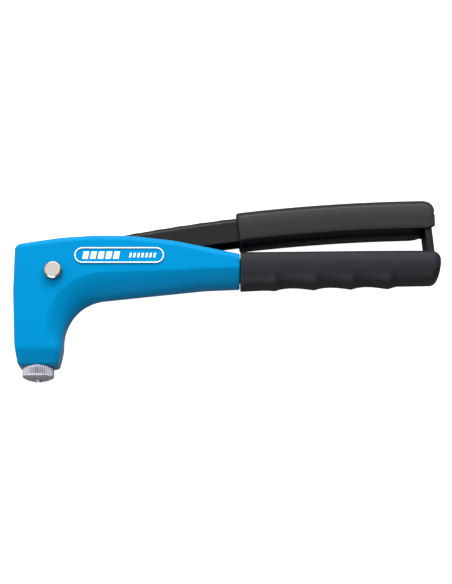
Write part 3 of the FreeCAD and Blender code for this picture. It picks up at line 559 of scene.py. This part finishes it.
def make_tang():
    """The bar inside the lower grip, forked at its end round the latch."""
    latch_pin, pin_hole, fork_start, fork_half = (245.2, 6.4), 1.55, 239.8, 4.4
    outline = [(118, -2.6), (244.2, -2.6), (246.8, -1.5), (248.2, 1.4), (248.2, 5.9), (246.9, 8.8),
               (244.2, 9.9), (236, 9.9), (235.5, 9.6), (118, 9.6)]
    tang = prism(outline, -7, 7)
    fork = [(fork_start, -10), (255, -10), (255, 20), (fork_start, 20)]
    combine(tang, prism(fork, -fork_half, fork_half), "DIFFERENCE")
    combine(tang, disc_cutter(pin_hole, -20, 20, "z", latch_pin), "DIFFERENCE")
    return tang


def make_body():
    """The casting's shell with its slot, bores and tang."""
    shell = make_body_shell()
    slot_half, tongue_half = 9, 5.7
    slot = [(-6.4, -13.6), (17.6, -13.6), (26.4, -10), (103, -1), (103, 40), (7, 40), (7, 17.4),
            (-6.4, 17.4)]
    combine(shell, prism(slot, -slot_half, slot_half), "DIFFERENCE")
    # two narrow slots let the lever's cheeks swing past the tongue between them
    for inner, outer in ((tongue_half, slot_half), (-tongue_half, -slot_half)):
        cheek = [(17.3, inner), (40, inner), (40, outer), (17.3, outer)]
        combine(shell, prism(cheek, 3.2, 7.1, "yz"), "DIFFERENCE")
    # the jaw case's bore, the nose cap's and the mandrel exit's, then the pin's hole and recess
    for radius, low, high in ((7.5, -50, -6.5), (8.1, -62, -49.6), (3.6, 17.3, 30)):
        combine(shell, disc_cutter(radius, low, high), "DIFFERENCE")
    for radius, high in ((3.55, 20), (7.0, -10.8)):
        combine(shell, disc_cutter(radius, -20, high, "z", (PIVOT_X, 0)), "DIFFERENCE")
    combine(shell, make_tang(), "UNION")
    shade(shell)
    stand_for(shell, "body", "body_casting")


make_body()


# ---------------------------------------------------------------- lower grip
def ridge_place(step):
    """Where the finger ridges stand along the lower grip."""
    return 147.5 + 25.2 * step - 0.6 * step ** 2


def scallop(x):
    """Depth of the finger hollows, from 0 on a ridge to 1 between two ridges."""
    for step in range(3):
        low, high = ridge_place(step), ridge_place(step + 1)
        if low < x < high:
            share = (x - low) / (high - low)
            return math.sin(math.pi * share ** 0.78)
    if x >= ridge_place(3):
        return 0.95 * ramp(x, ridge_place(3), 224.5)
    return 0.25 * ramp(ridge_place(0) - x, 0, 6) * ramp(x, 125, 140)


def lower_grip_section(x, inset):
    """One ring round the grip: rounded below, squarer above, with a faint edge at mid-height."""
    top_round, low_round, edge = 4.2, 10.4, 6.2
    hollow_depth, hollow_waist = 1.35, 0.8
    half = 14.0 - inset
    top = 13.2 + ramp(x, 110, 235) - inset
    ridge = -8.2 + 0.0185 * (x - ridge_place(0)) + inset
    ring = corner_arc((half - top_round - 0.35, top - top_round), top_round, top_round, 88, 12, 7)
    ring += [(half - 0.12, edge + 1.2), (half, edge), (half - 0.05, edge - 1.5)]
    ring += corner_arc((half - 0.3 - low_round, ridge + low_round), low_round + 0.1, low_round,
                       0, -90, 14)
    ring += [(0.0, ridge)]
    depth = scallop(x)
    moved = []
    for z, y in ring:
        waist = hollow_waist * depth * ramp(3.2 - y, 0, 8.5) * min(1, max(0, z / 5))
        moved.append((z - waist, y + hollow_depth * depth * ramp(1.0 - y, 0, 8)))
    left = [(-z, y) for z, y in moved[:-1][::-1]]
    return [(x, y, z) for z, y in moved + left]


def make_lower_grip():
    """The grip with the finger hollows, round the tang and slotted at its end for the latch."""
    start, straight, end, near_round = 125.2, 244.6, 250.6, 0.6
    places = [start, start + 0.25, start + near_round] + list(np.arange(start + 1.5, straight, 0.9))
    sections = []
    for x in places:
        share = 1 - min(1, (x - start) / near_round)
        sections.append(lower_grip_section(x, near_round * (1 - math.sqrt(1 - share ** 2))))
    # the end leans out a little towards its top and is rounded all round
    base = np.array(lower_grip_section(straight, 0))
    level, low_squeeze, high_squeeze, side_squeeze = 4.6, 0.56, 0.48, 0.22
    for angle in np.linspace(0, math.pi / 2, 14):
        ring = base.copy()
        turn = 1 - math.cos(angle)
        squeeze = np.where(base[:, 1] < level, 1 - low_squeeze * turn, 1 - high_squeeze * turn)
        ring[:, 1] = level + (base[:, 1] - level) * squeeze
        ring[:, 2] = base[:, 2] * (1 - side_squeeze * turn)
        lean = 1 - 0.02 * np.maximum(0, 7 - ring[:, 1])
        ring[:, 0] = straight + (end - straight) * math.sin(angle) * lean
        sections.append([tuple(point) for point in ring])
    grip = loft("lower_grip_shell", sections, GRIP_LOWER)
    tidy_normals(grip)
    room = [(120, -2.7), (244.3, -2.7), (247.1, -1.5), (248.3, 1.3), (248.3, 10.0), (120, 10.0)]
    combine(grip, prism(room, -7.1, 7.1), "DIFFERENCE")
    slot = [(239.8, 2.8), (260, 2.8), (260, 20), (239.8, 20)]
    combine(grip, prism(slot, -11.2, 11.2), "DIFFERENCE")
    shade(grip)
    stand_for(grip, "body", "lower_grip")


make_lower_grip()


# ---------------------------------------------------------------- upper grip
ARC_RADIUS = 1070.0
ARC_CENTRE = (256.0, 45.3 - ARC_RADIUS)


def arc_height(x, drop=0.0):
    """Height of the long handle arc, lowered by drop, at a given x."""
    radius = ARC_RADIUS - drop
    return ARC_CENTRE[1] + math.sqrt(radius ** 2 - (ARC_CENTRE[0] - x) ** 2)


def base_half_width(x):
    """Half the width of the flat under the grip, which ends in a half circle."""
    straight, reach, half = 231.4, 8.0, 8.2
    share = min(1, max(0, (x - straight) / reach))
    return half * math.sqrt(1 - share * share)


def upper_grip_section(x, inset, top_drop=0.0, edge_lift=0.0):
    """One ring: rounded on top, leaning out to an edge low down, then bevelled in to the base."""
    half = 12.7 - inset
    top, edge, base = -3.0 + inset + top_drop, 16.6 - inset - edge_lift, 19.1 - inset
    bevel = half - min(half - 1, base_half_width(x))
    wide, tall = 7.0, 5.6
    ring = corner_arc((half - 0.9 - wide, -top - tall), wide, tall, 90, 8, 11)
    ring += [(half - 0.35, -9.0), (half - 0.1, -14.2 + edge_lift), (half, -edge + 0.5)]
    for share in (0.03, 0.09, 0.5, 0.93, 1.0):
        ring.append((half - bevel * share, -edge - (base - edge) * share))
    ring.append((0.0, -base))
    ring = [(z, arc_height(x) + lift) for z, lift in ring]
    left = [(-z, y) for z, y in ring[:-1][::-1]]
    return [(x, y, z) for z, y in ring + left]


def make_upper_grip():
    """The grip over the lever's channel, open at its far end for the latch's hook."""
    near, far, far_round, slant = 122.3, 240.2, 7.3, 0.12
    # the near end is rounded and slants: its base starts further along than its top
    sections = []
    for along, inset in ((0, 1.3), (0.15, 0.75), (0.5, 0.3), (1.2, 0.0)):
        ring = upper_grip_section(near + along, inset)
        sections.append([(x + slant * (arc_height(x) + 3 - y), y, z) for x, y, z in ring])
    for x in [*np.arange(127.0, 231.0, 1.6), *np.arange(231.4, 240.0, 0.5)]:
        sections.append(upper_grip_section(x, 0))
    for angle in np.linspace(0, math.pi / 2, 13):
        turn = 1 - math.cos(angle)
        sections.append(upper_grip_section(far + far_round * math.sin(angle), 1.1 * turn,
                                           top_drop=4.2 * turn, edge_lift=1.2 * turn))
    grip = loft("upper_grip_shell", sections, GRIP_UPPER)
    tidy_normals(grip)
    # room for the lever's channel, and for the latch's hook at the open end
    channel_depth, base_end = 16.1, 239.0
    steps = np.linspace(115, 237.7, 41)
    room = [(x, arc_height(x, channel_depth)) for x in steps]
    room += [(x, arc_height(x, -0.1)) for x in steps[::-1]]
    combine(grip, prism(room, -8.7, 8.7), "DIFFERENCE")
    hook_room = [(x, arc_height(x, channel_depth)) for x in (237.0, base_end)]
    hook_room += [(base_end, 0), (260, 0), (260, 40.2), (237.0, 40.2)]
    combine(grip, prism(hook_room, -11.2, 11.2), "DIFFERENCE")
    shade(grip)
    stand_for(grip, "lever", "upper_grip")


make_upper_grip()


# ---------------------------------------------------------------- nose cap and nozzle
def make_nose_cap():
    """The cap with its knurled band and the bore for the nozzle."""
    knurl_top, knurl_low, radius = -58.75, -64.9, 9.8
    ridges, ridge_depth = 46, 0.62

    def ripple(angle, spot_radius, height):
        """Fine straight ridges that run out at the two ends of the knurled band."""
        if spot_radius < 9.0:
            return 0
        reach = min(1, max(0, (knurl_top - 0.3 - height) / 0.5), max(0, (height - knurl_low) / 0.6))
        return ridge_depth * reach * (0.5 - 0.5 * math.cos(ridges * angle)) ** 0.8

    profile = [
        (6.2, -50.0), (8.05, -50.0), (8.05, -58.7), (9.0, knurl_top), (9.45, -58.95),
        (radius, -59.35), (radius, -60.5), (radius, -62.0), (radius, -63.4), (radius, -64.3),
        (9.7, -64.75), (9.35, knurl_low - 0.1), (8.2, -65.55), (6.9, -66.15), (5.2, -66.6),
        (4.2, -66.82), (3.6, -66.8), (3.4, -66.6), (3.4, -63.4), (2.32, -63.4), (2.32, -62.2),
        (6.2, -62.2),
    ]
    cap = turned("nose_cap_knurled", profile, ZINC, count=480, ripple=ripple)
    tidy_normals(cap)
    shade(cap, 50)
    stand_for(cap, "nose", "nose_cap")


def make_nozzle():
    """The nosepiece, whose tip stands out of the cap."""
    profile = [
        (1.65, -67.3), (1.85, -67.55), (2.05, -67.6), (2.25, -67.4), (2.3, -67.1), (2.3, -62.2),
        (4.6, -62.2), (4.6, -59.6), (3.0, -59.6), (1.95, -55.2), (1.65, -55.2),
    ]
    nozzle = turned("nozzle", profile, ZINC, count=64)
    tidy_normals(nozzle)
    shade(nozzle)
    stand_for(nozzle, "nose", "nosepiece")


make_nose_cap()
make_nozzle()


# ---------------------------------------------------------------- pivot pin
def make_pin():
    """The pivot pin, from its ring groove at the back to its chamfered head."""
    face, head = HALF_BODY, 18.0
    profile = [
        (0.001, -12.7), (3.1, -12.7), (3.5, -12.3), (3.5, -11.9), (2.7, -11.9), (2.7, -10.9),
        (3.5, -10.9), (3.5, face), (5.5, face), (5.7, face + 0.25), (5.7, head - 1.1),
        (5.62, head - 0.92), (4.86, head - 0.14), (4.7, head - 0.03), (4.5, head), (0.001, head),
    ]
    pin = turned("pin_turned", profile, CHROME, axis="z", centre=(PIVOT_X, 0), count=128)
    tidy_normals(pin)
    shade(pin, 40)
    stand_for(pin, "body", "pivot_pin")


make_pin()


# ---------------------------------------------------------------- badge
BADGE_LEFT, BADGE_RIGHT, BADGE_Y = 26.8, 72.6, 10.2    # the centres of its two round ends


def stadium(radius):
    """The badge's outline at a given corner radius."""
    steps = 24
    ring = corner_arc((BADGE_RIGHT, BADGE_Y), radius, radius, -90, 90, steps)
    return ring + corner_arc((BADGE_LEFT, BADGE_Y), radius, radius, 90, 270, steps)


def make_badge():
    """A thin plate with a rounded white rim round a sunken blue field."""
    rim, radius = 0.9, 5.1
    levels = [(radius, -0.25), (radius, 0.75), (radius - 0.16, 0.92), (radius - 0.36, 1.0),
              (radius - rim + 0.3, 1.0), (radius - rim + 0.1, 0.9), (radius - rim, 0.35)]
    sections = [[(x, y, HALF_BODY + lift) for x, y in stadium(size)] for size, lift in levels]
    plate = loft("badge_rim", sections, WHITE_PRINT)
    plate.data.materials.append(BADGE_BLUE)
    plate.data.materials.append(BADGE_PAINTED_SHADE)
    ring = len(sections[0])
    plate.data.polygons[-1].material_index = 1
    # the outer wall and the inner wall down to the field take the dark blue: painted shade below the rim and
    # inside it
    for wall in list(range(ring)) + list(range(5 * ring, 6 * ring)):
        plate.data.polygons[wall].material_index = 2
    tidy_normals(plate)
    shade(plate, 50)
    stand_for(plate, "body", "badge_plate")


def make_badge_bars():
    """Two rows of plain slanted bars."""
    # each row's count, the place of its first bar, its pitch, and a bar's width and height
    rows = ((5, 26.6, 4.8, 3.5, 4.8), (7, 55.8, 2.5, 1.3, 3.0))
    for row, (count, first, pitch, width, height) in enumerate(rows):
        lean = height * 0.2
        low, high = BADGE_Y - height / 2, BADGE_Y + height / 2
        for step in range(count):
            left = first + pitch * step
            right = left + width
            bar = [(left, low), (right, low), (right + lean, high), (left + lean, high)]
            piece = prism(bar, HALF_BODY + 0.3, HALF_BODY + 0.56, material=WHITE_PRINT)
            piece.name = f"badge_bar_{row}_{step}"
            shade(piece)
            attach(piece, "body")


make_badge()
make_badge_bars()
